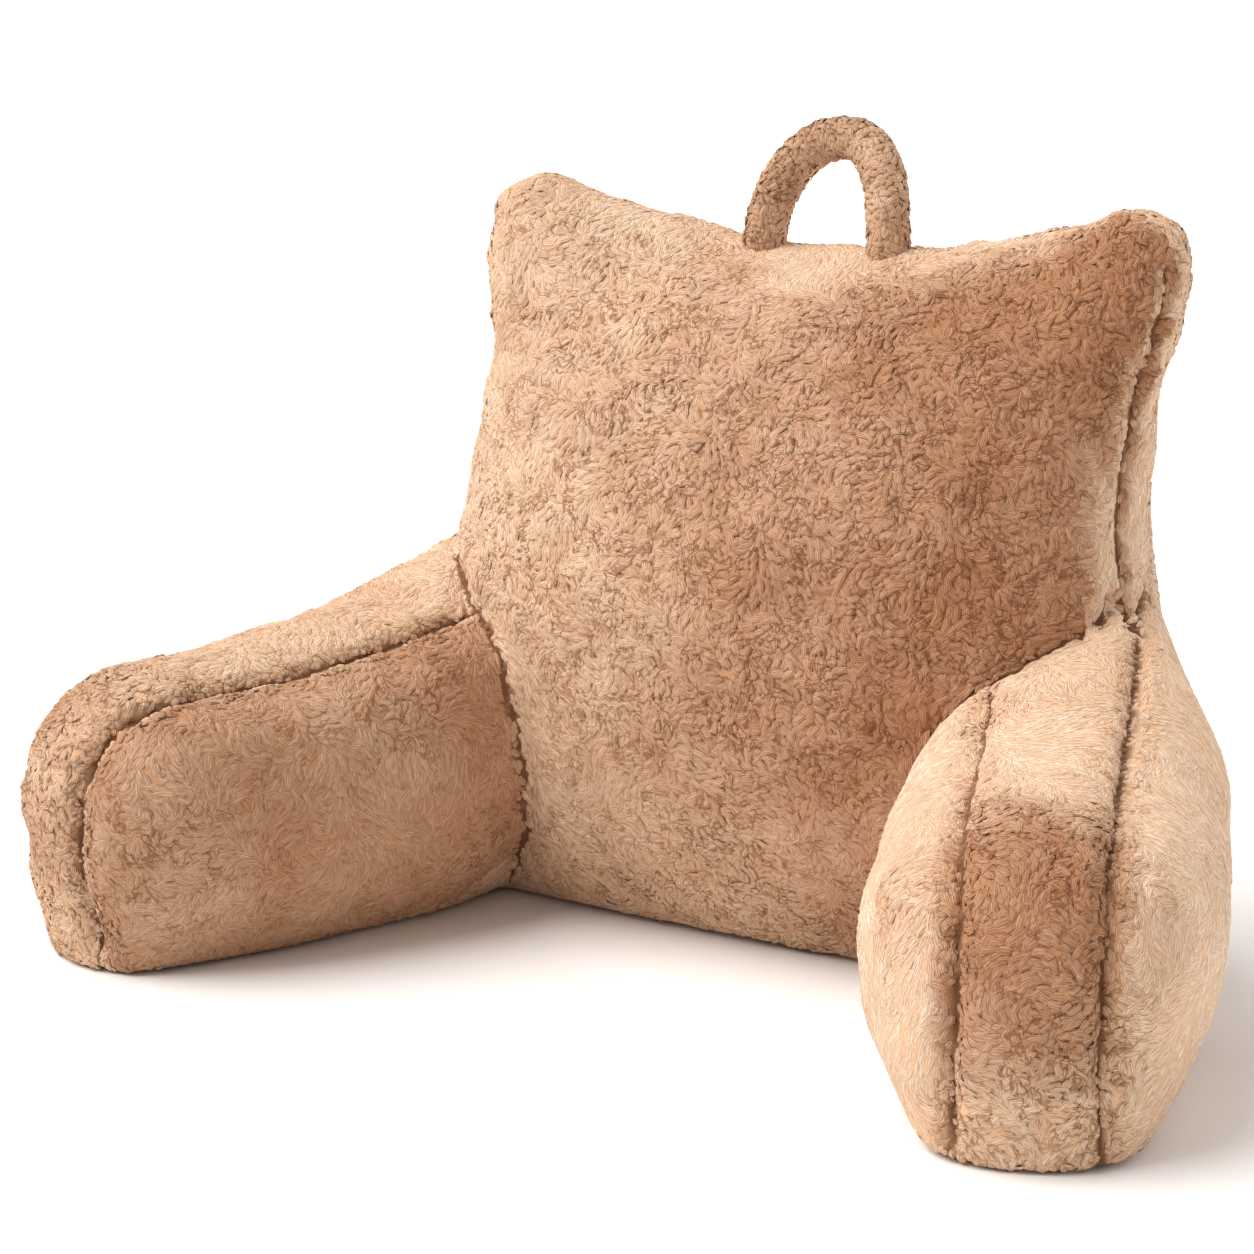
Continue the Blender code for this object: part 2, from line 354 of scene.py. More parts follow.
def nearestOn(line, points, chunk=4000):
    # for each point: the distance to the nearest point of a dense line, and that point's number
    line = line.astype(np.float32)
    points = points.astype(np.float32)
    distance = np.empty(len(points))
    index = np.empty(len(points), int)
    lineSquares = (line**2).sum(axis=1)
    for start in range(0, len(points), chunk):
        some = points[start : start + chunk]
        squares = (some**2).sum(axis=1)[:, None] - 2 * some @ line.T + lineSquares
        best = squares.argmin(axis=1)
        index[start : start + chunk] = best
        distance[start : start + chunk] = np.linalg.norm(some - line[best], axis=1)
    return distance, index


def softNoise(points, size, seed):
    # smooth noise from -1 to 1: random values on a lattice of that cell size, blended smoothly
    lattice = np.random.default_rng(seed).uniform(-1, 1, (32, 32, 32))
    cell = points / size + 1000
    low = np.floor(cell).astype(int)
    t = cell - low
    t = t * t * (3 - 2 * t)
    total = 0
    for corner in range(8):
        step = np.array([corner & 1, corner >> 1 & 1, corner >> 2 & 1])
        share = np.prod(np.where(step, t, 1 - t), axis=1)
        where = (low + step) % 32
        total = total + share * lattice[where[:, 0], where[:, 1], where[:, 2]]
    return total


def alongEdges(shape, ways, count=220):
    # a line along edges of the box: each way is (u, v, w) at its start and at its end
    lines = []
    for start, end in ways:
        t = np.linspace(0, 1, count)[:, None]
        u, v, w = (np.array(start) + (np.array(end) - np.array(start)) * t).T
        lines.append(np.stack(shape(u, v, w), axis=1))
    return np.concatenate(lines)


def seamLines():
    # the front panel rolls over the top edge, so its seam shows only down the two sides;
    # the second result is each line's share of the full groove depth
    lines = [
        alongEdges(backShape, [((-1, -1, -1), (-1, -1, 0.90)), ((1, -1, -1), (1, -1, 0.90))]),
        alongEdges(backShape, [
            ((-1, 1, -1), (-1, 1, 1)),
            ((-1, 1, 1), (1, 1, 1)),
            ((1, 1, 1), (1, 1, -1)),
        ]),
    ]
    for side in (-1, 1):
        for u in (-1, 1):
            lines.append(alongEdges(armShape(side), [
                ((u, -1, -1), (u, -1, 1)),
                ((u, -1, 1), (u, 0.9, 1)),
            ]))
    shares = [seams["frontShare"], seams["rearShare"], 1.0, 1.0, 1.0, 1.0]
    depths = [np.full(len(line), share) for line, share in zip(lines, shares)]
    return np.concatenate(lines), np.concatenate(depths)


def creaseLine():
    # where each arm is sewn to the front panel: the rim of the CAD arms' cut faces, read densely
    box, _ = boxFaces(120)
    backSkin = np.stack(backShape(*box.T), axis=1)
    found = []
    for name in ("arm_left", "arm_right"):
        points = readPoints(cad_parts[name].data)
        gap, _ = nearestOn(backSkin, points, 150)
        solid = bmesh.new()
        solid.from_mesh(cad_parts[name].data)
        solid.verts.ensure_lookup_table()
        near = seams["cutNear"]
        cut = {f.index for f in solid.faces if all(gap[v.index] < near for v in f.verts)}
        rim = [[v.index for v in e.verts] for e in solid.edges
               if sum(f.index in cut for f in e.link_faces) == 1]
        solid.free()
        ends = np.array(rim)
        t = np.linspace(0, 1, 5)[:, None]
        line = points[ends[:, :1]] * (1 - t) + points[ends[:, 1:]] * t
        found.append(line.reshape(-1, 3))
    found = np.concatenate(found)
    # on the outside the arm runs on into the back with no crease
    inner = (np.abs(found[:, 0]) < seams["innerX"]) | (found[:, 2] > seams["innerZ"])
    return found[(found[:, 1] < seams["creaseFront"]) & inner]


def onSkin(mesh, points, line):
    # the nearest place on the skin to each point of a line, and how far off it is
    loops = readCorners(mesh)
    tree = BVHTree.FromPolygons(points.tolist(), loops.reshape(-1, 4).tolist())
    nearest = [tree.find_nearest(place) for place in line.tolist()]
    places = np.array([place for place, _, _, _ in nearest])
    return places, np.array([gap for _, _, _, gap in nearest])


def foldOnSkin(mesh, points):
    # the crease on the one skin: a short segment across each face that is partly on the front
    # panel and partly on what stands out in front of it, read densely
    loops = readCorners(mesh)
    a = loops.reshape(-1, 4)
    b = np.roll(a, -1, axis=1)
    ahead = frontPanel(points) - seams["standOut"] - points[:, 1]
    gap, _ = nearestOn(crease, points)
    crossing = (ahead[a] > 0) != (ahead[b] > 0)
    crossing &= ((crossing.sum(axis=1) == 2) & (gap[a].max(axis=1) < seams["creaseReach"]))[:, None]
    a, b = a[crossing], b[crossing]
    share = (ahead[a] / (ahead[a] - ahead[b]))[:, None]
    ends = (points[a] * (1 - share) + points[b] * share).reshape(-1, 2, 1, 3)
    t = np.linspace(0, 1, 7)[:, None]
    return (ends[:, 0] * (1 - t) + ends[:, 1] * t).reshape(-1, 3)


def unionOfChambers():
    # the back and both arms in one closed skin, from a voxel remesh of the three shapes
    points, faces = [], []
    count = 0
    for shape, grid in ((backShape, 90), (armShape(-1), 70), (armShape(1), 70)):
        box, quads = boxFaces(grid)
        points.append(np.stack(shape(*box.T), axis=1))
        faces.append(quads + count)
        count += len(box)
    mesh = makeMesh("chambers", np.concatenate(points), np.concatenate(faces))
    faceOutward(mesh, weld=1e-6)
    piece = makeObject("chambers", mesh)
    remesh = piece.modifiers.new("remesh", "REMESH")
    remesh.mode = "VOXEL"
    remesh.voxel_size = filling["voxel"]
    skin = evaluated(piece)
    bpy.data.objects.remove(piece)
    return skin


def inflate(piece, pins):
    # cloth under pressure, held at the pinned points; returns where the points end up
    group = piece.vertex_groups.new(name="held")
    for level in range(11):
        chosen = np.flatnonzero(np.rint(pins * 10).astype(int) == level)
        group.add(chosen.tolist(), level / 10, "REPLACE")
    cloth = piece.modifiers.new("filling", "CLOTH")
    settings = cloth.settings
    settings.quality = 5
    settings.use_pressure = True
    settings.uniform_pressure_force = filling["pressure"]
    settings.effector_weights.gravity = 0
    settings.vertex_group_mass = "held"
    settings.pin_stiffness = 1.0
    cloth.collision_settings.use_collision = False
    cloth.point_cache.frame_start = 1
    cloth.point_cache.frame_end = filling["frames"]
    scene = bpy.context.scene
    for step in range(1, filling["frames"] + 1):
        scene.frame_set(step)
    swollen = readPoints(evaluated(piece))
    piece.modifiers.remove(cloth)
    piece.vertex_groups.clear()
    scene.frame_set(1)
    return swollen


def cushionBody():
    skin = unionOfChambers()
    outline = readPoints(skin)
    for _ in range(3):
        # smoothed without shrinking: one step in, one step out
        outline = relax(skin, relax(skin, outline, 0.5, 1), -0.53, 1)
    # the outer side of each arm runs on into the back's side in one soft sweep
    fromSweep = (np.abs(outline) - filling["sweep"]) * filling["sweepStretch"]
    sweep = smoothStep(*filling["sweepReach"], np.linalg.norm(fromSweep, axis=1))
    sweep = sweep * smoothStep(*filling["sweepFrom"], outline[:, 1])
    outline = relax(skin, outline, 0.5 * sweep[:, None], filling["sweepRounds"])
    writePoints(skin, outline)
    normals = readNormals(skin)
    fromCorner = (np.abs(outline) - filling["corner"]) * filling["cornerStretch"]
    corner = smoothStep(*filling["cornerReach"], np.linalg.norm(fromCorner, axis=1))
    outline = outline + normals * filling["cornerFill"] * corner[:, None]
    writePoints(skin, outline)
    normals = readNormals(skin)
    fold = foldOnSkin(skin, outline)
    sewn, gap = onSkin(skin, outline, seamLine)
    # seams that run inside the filling do not show
    lines = (fold, sewn[gap < seams["farthest"]], seamShare[gap < seams["farthest"]])
    seamGap, _ = nearestOn(lines[1], outline)
    pins = np.maximum(smoothStep(seams["pinWidth"] * 1.6, seams["pinWidth"] * 0.6, seamGap),
                      smoothStep(*filling["floorPin"], outline[:, 2]))
    # what is sewn down lies at its final depth; the rest starts deeper and swells out
    swell = (filling["startInset"] - filling["pileDepth"]) * (1 - pins)[:, None]
    start = outline - (filling["pileDepth"] + swell) * normals
    nearFloor = smoothStep(*filling["floorBlend"], outline[:, 2])
    start[:, 2] = start[:, 2] * (1 - nearFloor) + filling["baseLift"] * nearFloor
    writePoints(skin, start)
    piece = makeObject("cushion_body", skin)
    ends = start + swell * normals
    moved = inflate(piece, pins) - start
    far = np.linalg.norm(moved, axis=1, keepdims=True)
    moved = moved * np.minimum(1, filling["mostSwell"] / np.maximum(far, 1e-9))
    ends = start + relax(skin, moved, 0.5, 2)
    print("filling swelled by", round(float(far.max()) * 1000, 1), "mm before the cap,",
          round(float(np.median(far)) * 1000, 1), "mm at the median")
    ends[:, 2] = np.maximum(ends[:, 2], filling["baseLift"])
    writePoints(skin, ends)
    rest = skin.attributes.new("outline", "FLOAT_VECTOR", "POINT")
    rest.data.foreach_set("vector", outline.astype(np.float32).ravel())
    finer = piece.modifiers.new("finer", "SUBSURF")
    finer.levels = 1
    finer.render_levels = 1
    fine = evaluated(piece)
    piece.modifiers.clear()
    piece.data = fine
    fine.name = "cushion_body"
    bpy.data.meshes.remove(skin)
    return piece, lines


def sewSeams(piece):
    # a groove along each seam, 1 / (1 + (d / width)^2) squared in section, small puckers beside it
    # and soft dents over the whole
    mesh = piece.data
    points = readPoints(mesh)
    normals = readNormals(mesh)
    outline = readVectors(mesh.attributes["outline"].data, "vector")
    gap, index = nearestOn(sewnLine, outline)
    section = 1 / (1 + (gap / seams["grooveWidth"]) ** 2) ** 2
    foldGap, _ = nearestOn(foldLine, outline)
    fold = 1 / (1 + (foldGap / seams["creaseWidth"]) ** 2) ** 2
    groove = seams["grooveDepth"] * sewnShare[index] * section
    groove = np.maximum(groove, seams["creaseDepth"] * fold)
    pucker = seams["puckerDepth"] * softNoise(points, seams["puckerPitch"], 5)
    pucker = pucker * smoothStep(*seams["puckerReach"], gap)
    (broadDepth, broadSize), (smallDepth, smallSize) = seams["dents"]
    dents = broadDepth * softNoise(points, broadSize, 21)
    dents = dents + smallDepth * softNoise(points, smallSize, 22)
    aboveFloor = smoothStep(*seams["floorFade"], outline[:, 2])[:, None]
    points = points + normals * (dents - pucker - groove)[:, None] * aboveFloor
    writePoints(mesh, points)
    mesh.shade_smooth()
    # stored for the finishes: the seams' and crease's sinking, where the ground gets painted shade,
    # and the share of painted shade and tone
    storeValues(mesh, "sunk", np.maximum(section, fold))
    storeValues(mesh, "paintedShadeAndTone", zones(outline, readNormals(mesh))["paintedShadeAndTone"])
    return outline


def handleCore():
    # a round tube carried along the arch: x follows the sine of the angle, z the cosine
    angle = np.linspace(-np.pi / 2, np.pi / 2, loop["rings"])
    rise = np.cos(angle) ** 0.85
    x = loop["halfSpan"] * np.sign(angle) * np.abs(np.sin(angle)) ** 0.9
    y = loop["footY"] + loop["lean"] * rise**2
    z = loop["footZ"] + (loop["topZ"] - loop["footZ"]) * rise
    centres = np.stack([x, y, z], axis=1)
    ahead = unit(np.gradient(centres, axis=0))
    flat = unit(np.cross((0, loop["lean"], loop["topZ"] - loop["footZ"]), (1, 0, 0)))
    across = unit(np.cross(ahead, flat))
    turn = np.linspace(0, 2 * np.pi, loop["sides"], endpoint=False)
    out = np.cos(turn)[None, :, None] * across[:, None] + np.sin(turn)[None, :, None] * flat
    points = (centres[:, None] + loop["coreRadius"] * out).reshape(-1, 3)
    number = np.arange(len(points)).reshape(loop["rings"], loop["sides"])
    after = np.roll(number, -1, axis=1)
    walls = np.stack([number[:-1], after[:-1], after[1:], number[1:]], axis=2).reshape(-1, 4)
    mesh = bpy.data.meshes.new("handle_core")
    ends = [number[0][::-1].tolist(), number[-1].tolist()]
    mesh.from_pydata(points.tolist(), [], walls.tolist() + ends)
    faceOutward(mesh)
    mesh.shade_smooth()
    return makeObject("handle_core", mesh)


# one lock of pile: a root point, two rings of right, ridge and left points, and a tip
lockStations = {
    "along":  np.array([0.0, 0.34, 0.72, 1.0]),
    "height": np.array([0.0, 0.85, 1.0, 0.30]),
    "width":  np.array([0.0, 1.0, 0.90, 0.0]),
    "ridge":  np.array([0.0, 0.10, 0.10, 0.0]),     # above the line, as a share of the width
    "droop":  np.array([0.0, 0.10, 0.08, 0.0]),     # and the edges this far below it
    "sink":   0.0010,
}


def lockFaces():
    # loops of one lock, with the share across (0 right, 0.5 ridge, 1 left, 1.5 right again) and
    # along for each: three sides from the root, three walls, three sides to the tip
    loops, totals, across, along = [], [], [], []
    near, far = lockStations["along"][1:3]
    for corner in range(3):
        a = 1 + corner
        b = 1 + (corner + 1) % 3
        here, there = corner / 2, (corner + 1) / 2
        middle = (here + there) / 2
        loops += [0, a, b, a, a + 3, b + 3, b, a + 3, 7, b + 3]
        across += [middle, here, there, here, here, there, there, here, middle, there]
        along += [0.0, near, near, near, far, far, near, far, 1.0, far]
        totals += [3, 4, 3]
    return np.array(loops), np.array(totals), np.array(across), np.array(along)


def growPile(name, place, normal, flow, look):
    # locks from their roots: forward along the flow, arched over it, bent sideways by the curl
    count = len(place)
    side = unit(np.cross(normal, flow))
    flow = np.cross(side, normal)
    points = np.empty((count, 8, 3))
    s = lockStations["along"]
    bend = look["curl"][:, None] * s**2
    forward = look["length"][:, None] * (s * (1 - 0.25 * bend**2) - 0.48)
    sideways = look["length"][:, None] * bend * 0.6
    height = look["rise"][:, None] * lockStations["height"] - lockStations["sink"]
    centre = (
        place[:, None]
        + forward[..., None] * flow[:, None]
        + sideways[..., None] * side[:, None]
        + height[..., None] * normal[:, None]
    )
    ahead = unit(np.gradient(centre, axis=1))
    across = unit(np.cross(ahead, normal[:, None]))
    ridge = np.cross(across, ahead)
    half = 0.5 * look["width"][:, None] * lockStations["width"]
    high = look["width"][:, None] * lockStations["ridge"]
    low = look["width"][:, None] * lockStations["droop"]
    for ring in (1, 2):
        first = ring * 3 - 2
        edge = centre[:, ring] - ridge[:, ring] * low[:, ring, None]
        points[:, first] = edge + across[:, ring] * half[:, ring, None]
        points[:, first + 1] = centre[:, ring] + ridge[:, ring] * high[:, ring, None]
        points[:, first + 2] = edge - across[:, ring] * half[:, ring, None]
    points[:, 0] = centre[:, 0]
    points[:, 7] = centre[:, 3]
    points[..., 2] = np.maximum(points[..., 2], 0.0003)
    loops, totals, lockAcross, lockAlong = lockFaces()
    mesh = bpy.data.meshes.new(name)
    mesh.vertices.add(count * 8)
    mesh.loops.add(count * len(loops))
    mesh.polygons.add(count * len(totals))
    mesh.vertices.foreach_set("co", points.astype(np.float32).ravel())
    corner = (loops[None] + 8 * np.arange(count)[:, None]).ravel()
    mesh.loops.foreach_set("vertex_index", corner.astype(np.int32))
    starts = np.cumsum(np.tile(totals, count)) - np.tile(totals, count)
    mesh.polygons.foreach_set("loop_start", starts.astype(np.int32))
    mesh.update(calc_edges=True)
    mesh.shade_smooth()
    # each lock is lit partly as the cushion beneath it, which keeps the nap soft
    own = (1 - pile["softness"]) * readNormals(mesh)
    lit = pile["softness"] * np.repeat(normal, 8, axis=0) + own
    mesh.normals_split_custom_set_from_vertices(unit(lit).tolist())
    strand = mesh.uv_layers.new(name="lock")
    pair = np.stack([np.tile(lockAcross, count), np.tile(lockAlong, count)], axis=1)
    strand.data.foreach_set("uv", pair.astype(np.float32).ravel())
    # each lock has its own small cell of the second map
    cells = int(np.ceil(np.sqrt(count)))
    corners = np.stack([np.arange(count) % cells, np.arange(count) // cells], axis=1) / cells
    cell = np.stack([lockAcross / 1.5, lockAlong], axis=1) * 0.9 + 0.05
    bake = mesh.uv_layers.new(name="OFBake")
    bake.data.foreach_set("uv", (corners[:, None] + cell[None] / cells).astype(np.float32).ravel())
    strand.active_render = True
    mesh.uv_layers.active = strand
    for attribute in ("tone", "ruffle", "paintedShadeAndTone"):
        storeValues(mesh, attribute, np.repeat(look[attribute], 8))
    return makeObject(name, mesh)


def scatterRoots(mesh, spacing):
    # root points spread over a quad mesh: each face takes its share of area, at a random place
    count = len(mesh.polygons)
    loops = readCorners(mesh)
    sizes = np.empty(count, np.int32)
    mesh.polygons.foreach_get("loop_total", sizes)
    starts = np.cumsum(sizes) - sizes
    starts = starts[sizes == 4]
    corners = loops[starts[:, None] + np.arange(4)]
    points = readPoints(mesh)
    quads = points[corners]
    crossed = np.cross(quads[:, 2] - quads[:, 0], quads[:, 3] - quads[:, 1])
    area = np.linalg.norm(crossed, axis=1) / 2
    share = area / spacing**2
    # rounding up or down at random keeps the spread even
    copies = np.floor(share + rng.random(len(share))).astype(int)
    face = np.repeat(np.arange(len(corners)), copies)
    a, b = rng.random((2, len(face), 1))
    chosen = corners[face]
    weights = np.stack([(1 - a) * (1 - b), a * (1 - b), a * b, (1 - a) * b], axis=1)

    def at(values):
        return (values[chosen] * weights).sum(axis=1)

    return at


pile = {
    "spacing": 0.0039,
    "length": 0.0132,
    "width": 0.0053,
    "flatRise": 0.0007,
    "ruffledRise": 0.0027,
    "softness": 0.55,
    "bareSeam": 0.0023,
    "bareCrease": 0.0012,
    "swirlSize": 0.055,
    "smallSwirlSize": 0.027,
    "curlSize": 0.016,
    "baseZ": 0.006,          # no pile under the base, up to this height
    "joinClear": 0.020,      # locks this near the crease keep their length on sharp turns
    "besideSeam": (0.012, 0.006),
}
handlePile = {
    "spacing": 0.0027,
    "from": 0.462,           # none below this, inside the gusset
    "length": 0.0090,
    "width": 0.0044,
    "rise": (0.0010, 0.0024),        # least, and what chance adds
    "swirlSizes": (0.030, 0.014),
    "curlSize": 0.012,
}
nap = {
    "armBox": (0.45, 0.13, 0.300),       # in the arm's own plan: behind, outward, and z
    "besideBack": (0.262, 0.06, 0.26),   # the part of it beside the back: x, y and z
    # how ruffled, 0 flat and 1 most: each is added to the one it lies on
    "armRuffle": 0.32,
    "bandRuffle": 0.08,
    "endRuffle": 0.48,
    "leftInnerRuffle": 0.24,
    "panelRuffle": 0.40,
    "faceRuffle": 0.18,
    "rightFaceRuffle": 0.30,
    "patchRuffle": 0.30,
    # how much painted shade, where faces turn from the key light
    "panelShade": (0.10, 0.90),
    "panelShadeX": (-0.16, 0.20),
    "rightEndShade": 0.9,
    "leftEndShade": 0.35,
    "leftInnerShade": 0.75,
    "spotDeep": 0.22,
}


def turned(vectors, normal, angle):
    # each vector, which lies in the surface, turned round the normal
    side = np.cross(normal, vectors)
    return vectors * np.cos(angle)[:, None] + side * np.sin(angle)[:, None]


def alongSurface(vectors, normal):
    return unit(vectors - (vectors * normal).sum(axis=1, keepdims=True) * normal)


def frontPanel(points):
    # y of the front panel at each x and z: the seam's y less the crown, as in the back's shape
    half = backRow("halfWidth", points[:, 2])
    fromBelly = points[:, 2] / back["height"] - back["belly"]
    belly = np.where(fromBelly < 0, fromBelly / back["belly"], fromBelly / (1 - back["belly"]))
    crown = dome(np.clip(points[:, 0] / half, -1, 1), 2.1) ** 1.1
    crown = crown * dome(np.clip(belly, -1, 1), 2.2) ** 1.25
    return backRow("seamY", points[:, 2]) - back["frontCrown"] * crown


def zones(rest, normal):
    # which part of the cushion each place belongs to, how ruffled its nap is and how much painted
    # shade and random tone it gets
    side = np.where(rest[:, 0] < 0, -1.0, 1.0)
    # in the arm's own plan: how far behind its foot, and how far out across its band
    fromFoot = np.stack([side * rest[:, 0] - arm["foot"][0], rest[:, 1] - arm["foot"][1]], axis=1)
    ahead = np.array([-np.sin(arm["splay"]), np.cos(arm["splay"])])
    behind = fromFoot @ ahead
    outward = fromFoot @ np.array([np.cos(arm["splay"]), np.sin(arm["splay"])])
    # the arm is what stands out in front of the front panel, or beside the back low down
    farBehind, farOut, top = nap["armBox"]
    inArmBox = (behind < farBehind) & (np.abs(outward) < farOut) & (rest[:, 2] < top)
    x, y, z = nap["besideBack"]
    beside = (rest[:, 1] < y) & (np.abs(rest[:, 0]) > x) & (rest[:, 2] < z)
    onArm = inArmBox & ((rest[:, 1] < frontPanel(rest) - seams["standOut"]) | beside)
    # how ruffled: the front panel and the arms' front ends most, the arms' sides least
    faceFront = smoothStep(0.25, 0.75, -normal[:, 1])
    patches = softNoise(rest, 0.085, 31) + 0.6 * softNoise(rest, 0.035, 32)
    inBand = smoothStep(0.062, 0.042, np.abs(outward))
    ragged = behind + 0.030 * softNoise(rest, 0.030, 63)
    armRuffle = nap["armRuffle"] + nap["bandRuffle"] * inBand
    armRuffle = armRuffle + nap["endRuffle"] * smoothStep(0.140, 0.020, ragged) * inBand
    armRuffle = armRuffle + nap["leftInnerRuffle"] * ((side < 0) & (outward < -0.04))
    rightFace = nap["rightFaceRuffle"] * smoothStep(-0.26, 0.02, rest[:, 0])
    panelRuffle = nap["panelRuffle"] + (nap["faceRuffle"] + rightFace) * faceFront
    ruffle = np.where(onArm, armRuffle, panelRuffle) + nap["patchRuffle"] * patches
    # painted shade where faces turn from the key light: across the front panel, growing to its
    # right, on the arms' front ends, most on the right, and inside the left arm; random spots of
    # deeper tone are added
    leastShade, moreShade = nap["panelShade"]
    wavyX = rest[:, 0] + 0.5 * softNoise(rest, 0.16, 61) * 0.16
    panelShade = leastShade + moreShade * smoothStep(*nap["panelShadeX"], wavyX)
    endShade = smoothStep(0.110, -0.010, ragged) * inBand * smoothStep(0.030, 0.085, rest[:, 2])
    endShade = endShade * np.where(side > 0, nap["rightEndShade"], nap["leftEndShade"])
    armShade = np.maximum(endShade, nap["leftInnerShade"] * ((side < 0) & (outward < -0.05)))
    paintedShadeAndTone = np.where(onArm, armShade, panelShade * faceFront)
    paintedShadeAndTone = paintedShadeAndTone + nap["spotDeep"] * softNoise(rest, 0.045, 62)
    return {
        "onArm": onArm,
        "outward": outward,
        "side": side,
        "ruffle": ruffle,
        "paintedShadeAndTone": np.clip(paintedShadeAndTone, 0, 1),
    }


def plushOnCushion(piece, outline):
    mesh = piece.data
    at = scatterRoots(mesh, pile["spacing"])
    place = at(readPoints(mesh))
    normal = at(readNormals(mesh))
    # the mean of a face's normals is short where the cloth turns sharply, and so are its locks
    sharp = smoothStep(0.004, 0.030, 1 - np.linalg.norm(normal, axis=1))
    normal = unit(normal)
    rest = at(outline)
    # none under the base, where the cloth lies on the surface
    shown = ~((rest[:, 2] < pile["baseZ"]) & (normal[:, 2] < -0.6))
    joins = np.concatenate([sewnLine, foldLine])
    gap, index = nearestOn(joins, rest, 1500)
    atSeam = index < len(sewnLine)
    shown &= gap > np.where(atSeam, pile["bareSeam"], pile["bareCrease"])
    roots = (place, normal, rest, gap, index, sharp, atSeam)
    place, normal, rest, gap, index, sharp, atSeam = (values[shown] for values in roots)
    sharp = sharp * (atSeam | (gap > pile["joinClear"]))
    zone = zones(rest, normal)
    onArm, outward, side = (zone[key] for key in ("onArm", "outward", "side"))
    # combed down the upright panels, and forwards on what faces up
    ahead = -np.cos(arm["splay"]) * np.ones(len(rest))
    forward = np.stack([side * np.sin(arm["splay"]), ahead], axis=1)
    comb = np.concatenate([forward * 0.55, -np.ones((len(rest), 1))], axis=1)
    comb = alongSurface(comb, normal)
    nearSeam = smoothStep(0.022, 0.006, gap) * atSeam
    ruffle = np.clip(zone["ruffle"] + 0.20 * nearSeam, 0.05, 0.90)
    swirl = softNoise(rest, pile["swirlSize"], 41)
    swirl = swirl + 0.9 * softNoise(rest, pile["smallSwirlSize"], 42)
    stray = 0.24 * (0.4 + ruffle) * rng.standard_normal(len(rest))
    angle = np.pi * (0.25 + 1.1 * ruffle) * swirl + stray
    flow = turned(comb, normal, angle)
    # beside a seam the locks lie away from it and along it, so that it stays a dark line
    away = alongSurface(rest - joins[index], normal)
    alongSeam = np.cross(normal, away)
    wave = np.sign(softNoise(rest, 0.040, 43))[:, None] + softNoise(rest, 0.012, 46)[:, None]
    beside = 0.92 * smoothStep(*pile["besideSeam"], gap)[:, None]
    flow = alongSurface(flow * (1 - beside) + beside * (away * 0.30 + alongSeam * wave), normal)
    count = len(rest)
    vary = rng.random((4, count))
    length = pile["length"] * (0.75 + 0.45 * vary[0])
    lift = (pile["ruffledRise"] - pile["flatRise"]) * ruffle
    tone = 0.5 + 0.30 * softNoise(rest, 0.012, 45) + 0.5 * (rng.random(count) - 0.5)
    look = {
        "paintedShadeAndTone": zone["paintedShadeAndTone"],
        "length": length * (1 - 0.5 * sharp) * (1 - 0.3 * nearSeam),
        "width": pile["width"] * (0.78 + 0.44 * vary[1]) * (1.18 - 0.25 * ruffle),
        "rise": pile["flatRise"] + lift * (0.45 + 0.85 * vary[2]),
        "curl": 2.6 * ruffle * softNoise(rest, pile["curlSize"], 44) + 0.4 * (vary[3] - 0.5),
        "tone": np.clip(tone, 0, 1),
        "ruffle": ruffle,
    }
    frontSeam = backRow("seamY", rest[:, 2])
    rearSeam = frontSeam + backRow("gusset", rest[:, 2])
    onFront = (rest[:, 1] < frontSeam) & ~onArm
    onRear = (rest[:, 1] > rearSeam) & ~onArm
    upper = rest[:, 2] > 0.25
    areas = {
        "pile_front_upper": onFront & upper,
        "pile_front_lower": onFront & ~upper,
        "pile_rear_upper": onRear & upper,
        "pile_rear_lower": onRear & ~upper,
        "pile_gusset": ~onFront & ~onRear & ~onArm,
        "pile_arm_left_inner": onArm & (side < 0) & (outward < 0),
        "pile_arm_left_outer": onArm & (side < 0) & (outward >= 0),
        "pile_arm_right_inner": onArm & (side > 0) & (outward < 0),
        "pile_arm_right_outer": onArm & (side > 0) & (outward >= 0),
    }
    pieces = []
    for name, here in areas.items():
        some = {key: values[here] for key, values in look.items()}
        pieces.append(growPile(name, place[here], normal[here], flow[here], some))
        print(name, int(here.sum()), "locks")
    return pieces


def plushOnHandle(piece):
    # shorter, more swirled pile, combed down the loop
    mesh = piece.data
    at = scatterRoots(mesh, handlePile["spacing"])
    place = at(readPoints(mesh))
    normal = unit(at(readNormals(mesh)))
    shown = place[:, 2] > handlePile["from"]
    place, normal = place[shown], normal[shown]
    comb = alongSurface(np.tile((0.0, -0.25, -1.0), (len(place), 1)), normal)
    broad, small = handlePile["swirlSizes"]
    swirl = softNoise(place, broad, 51) + 0.7 * softNoise(place, small, 52)
    flow = turned(comb, normal, 2.2 * swirl + 0.5 * rng.standard_normal(len(place)))
    count = len(place)
    vary = rng.random((4, count))
    leastRise, moreRise = handlePile["rise"]
    look = {
        "length": handlePile["length"] * (0.75 + 0.45 * vary[0]),
        "width": handlePile["width"] * (0.8 + 0.4 * vary[1]),
        "rise": leastRise + moreRise * vary[2],
        "curl": 1.3 * softNoise(place, handlePile["curlSize"], 53) + 0.5 * (vary[3] - 0.5),
        "tone": np.clip(0.45 + 0.5 * (vary[0] - 0.5) + 0.3 * swirl, 0, 1),
        "ruffle": np.clip(0.7 + 0.3 * swirl, 0, 1),
        # painted shade and tone on the loop, more where it swirls
        "paintedShadeAndTone": np.clip(0.35 + 0.3 * swirl, 0, 1),
    }
    print("pile_handle", count, "locks")
    return growPile("pile_handle", place, normal, flow, look)


